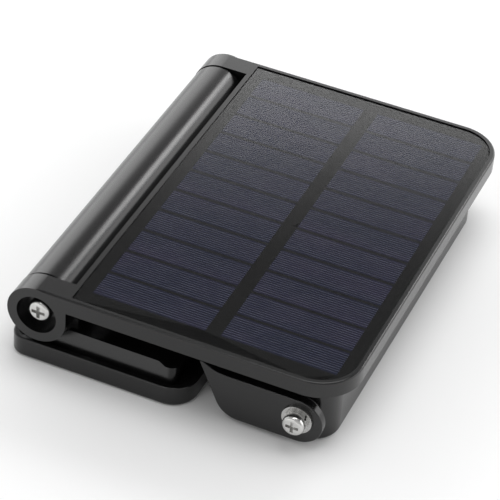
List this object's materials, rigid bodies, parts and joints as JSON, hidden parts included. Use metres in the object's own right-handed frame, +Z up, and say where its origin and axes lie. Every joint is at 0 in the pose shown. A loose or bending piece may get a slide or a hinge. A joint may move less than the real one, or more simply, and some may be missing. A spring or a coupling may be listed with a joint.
{
  "type": "folding solar wall lamp",
  "caption": "Solar panel with battery box, hinged lamp head that folds under it, and a swinging wall bracket on two pivot screws.",
  "frame": {"origin": "middle of the footprint on the plane the folded lamp rests on", "axes": "+X from the lamp hinge towards the free edge of the panel, +Y along the hinges, +Z up out of the panel face"},
  "size_m": [0.125, 0.1662, 0.032],
  "materials": {
    "shell_black": "fine satin texture, near black ABS",
    "pv_cover": "clear, smooth",
    "pv_cell": "dark blue-violet silicon with silver finger lines",
    "pv_board": "black solder mask",
    "foam_tape": "white foam tape",
    "seal_rubber": "soft black silicone",
    "nickel_steel": "bright nickel plate",
    "black_steel": "black oxide",
    "cell_wrap": "shrink sleeve",
    "white_plastic": "white ABS",
    "nickel_tab": "nickel strip",
    "wire": "PVC insulation",
    "black_wire": "black PVC jacket",
    "green_board": "green solder mask",
    "white_board": "white solder mask",
    "component": "moulded epoxy",
    "brass": "turned",
    "nylon": "black nylon",
    "button_rubber": "grey silicone",
    "frosted": "frosted polycarbonate",
    "led": "yellow phosphor in white package",
    "pir_white": "milky polyethylene"
  },
  "bodies": {
    "panel": {"panel_frame": "shell_black", "pv_cover": "pv_cover", "pv_cells": "pv_cell", "pv_board": "pv_board", "pv_bond": "foam_tape", "battery_box": "shell_black", "box_gasket": "seal_rubber", "box_screws": "black_steel", "battery_cell": "cell_wrap", "battery_cradle": "white_plastic", "battery_tabs": "nickel_tab", "battery_leads": "wire", "control_board": "green_board", "board_screws": "nickel_steel", "board_parts": "component", "board_connectors": "white_plastic", "panel_leads": "wire", "switch_body": "component", "pivot_inserts": "brass", "pivot_pads": "nylon", "hinge_screw": "nickel_steel", "hinge_bush": "brass", "hinge_cap": "shell_black", "hinge_washers": "nylon", "lamp_feed": "black_wire", "box_grommet": "seal_rubber"},
    "lamp_head": {"lamp_back": "shell_black", "lamp_bezel": "shell_black", "lamp_gasket": "seal_rubber", "lamp_lens": "frosted", "lamp_reflector": "white_plastic", "led_board": "white_board", "leds": "led", "led_board_screws": "nickel_steel", "pir_sensor": "nickel_tab", "pir_lens": "pir_white", "lamp_screws": "black_steel", "barrel_lead": "black_wire", "hinge_insert": "brass"},
    "bracket": {"wall_bracket": "shell_black", "pivot_screws": "nickel_steel", "pivot_flat_washers": "nickel_steel", "pivot_spring_washers": "nickel_steel"},
    "button": {"power_button": "button_rubber"}
  },
  "joints": [
    {"name": "lamp_hinge", "type": "hinge", "parent": "panel", "child": "lamp_head", "pos_m": [-0.0513, 0, 0.0208], "axis": [0, 1, 0], "range_deg": [0, 180]},
    {"name": "bracket_pivot", "type": "hinge", "parent": "panel", "child": "bracket", "pos_m": [0.0457, 0, 0.0123], "axis": [0, -1, 0], "range_deg": [0, 180]},
    {"name": "button_press", "type": "slide", "parent": "panel", "child": "button", "axis": [0, 0, 1], "range_m": [0, 0.0006], "stiffness_N_per_m": 3000, "springref_m": -0.0003}
  ]
}
